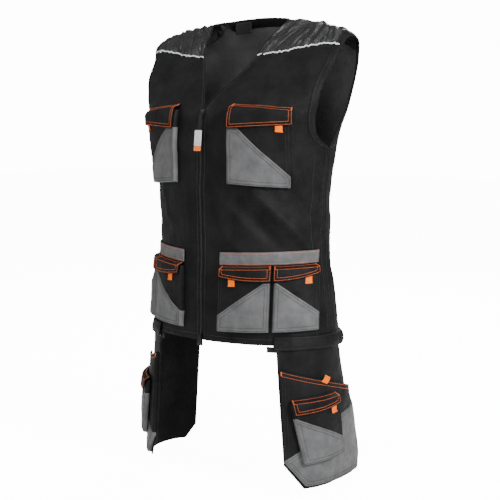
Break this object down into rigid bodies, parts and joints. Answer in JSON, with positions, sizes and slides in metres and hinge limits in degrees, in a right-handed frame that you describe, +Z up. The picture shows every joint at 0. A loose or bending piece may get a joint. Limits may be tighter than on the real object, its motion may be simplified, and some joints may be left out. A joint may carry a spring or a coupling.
{
  "type": "sleeveless work vest",
  "caption": "Sleeveless zip-front work vest with flapped chest pockets, a bank of lower pockets, grey reinforcements and tool holster panels hanging from the hem.",
  "frame": {"origin": "midway between the two neck points of the shoulder seams, where the vest sits on the shoulders", "axes": "+Z up, +X to the wearer's left, the front zip towards -Y"},
  "size_m": [0.5132, 0.3041, 0.9582],
  "materials": {
    "black_cloth": "matte black twill",
    "grey_cloth": "matte grey coated reinforcement cloth",
    "yoke_cloth": "dark grey ruched cloth",
    "orange_webbing": "orange webbing",
    "silver_piping": "silver reflective piping",
    "black_plastic": "black moulded plastic and zip tape",
    "tag_rubber": "light grey soft zip tag"
  },
  "bodies": {
    "root": {"armhole_facing_left": "black_cloth", "armhole_facing_right": "black_cloth", "back_panel": "black_cloth", "bank_band_left": "grey_cloth", "bank_band_right": "grey_cloth", "chest_flap_left": "black_cloth", "chest_flap_right": "black_cloth", "chest_patch_left": "grey_cloth", "chest_patch_right": "grey_cloth", "chest_pocket_left": "black_cloth", "chest_pocket_right": "black_cloth", "chest_tab_left": "orange_webbing", "chest_tab_right": "orange_webbing", "end_pull": "black_plastic", "foot_patch_left": "grey_cloth", "foot_patch_right": "grey_cloth", "front_panel_left": "black_cloth", "front_panel_right": "black_cloth", "front_zip": "black_plastic", "hem_flap_left": "black_cloth", "hem_flap_right": "black_cloth", "holster_flap_left": "black_cloth", "holster_flap_right": "black_cloth", "holster_panel_left": "black_cloth", "holster_panel_right": "black_cloth", "holster_patch_left": "grey_cloth", "holster_patch_right": "grey_cloth", "holster_pocket_left": "black_cloth", "holster_pocket_right": "black_cloth", "holster_tab_left": "orange_webbing", "holster_tab_right": "orange_webbing", "inner_flap_left": "black_cloth", "inner_flap_right": "black_cloth", "inner_patch_left": "grey_cloth", "inner_patch_right": "grey_cloth", "inner_pocket_left": "black_cloth", "inner_pocket_right": "black_cloth", "inner_tab_left": "orange_webbing", "inner_tab_right": "orange_webbing", "neck_facing": "black_cloth", "neck_label": "black_cloth", "outer_flap_left": "black_cloth", "outer_flap_right": "black_cloth", "outer_patch_left": "grey_cloth", "outer_patch_right": "grey_cloth", "outer_pocket_left": "black_cloth", "outer_pocket_right": "black_cloth", "outer_tab_left": "orange_webbing", "outer_tab_right": "orange_webbing", "piping_left": "silver_piping", "piping_right": "silver_piping", "pouch_left": "black_cloth", "pouch_loop_left": "orange_webbing", "pouch_loop_right": "orange_webbing", "pouch_right": "black_cloth", "pull_strap": "black_cloth", "pull_tag": "tag_rubber", "yoke_left": "yoke_cloth", "yoke_right": "yoke_cloth", "zip_slider": "black_plastic"}
  },
  "joints": []
}
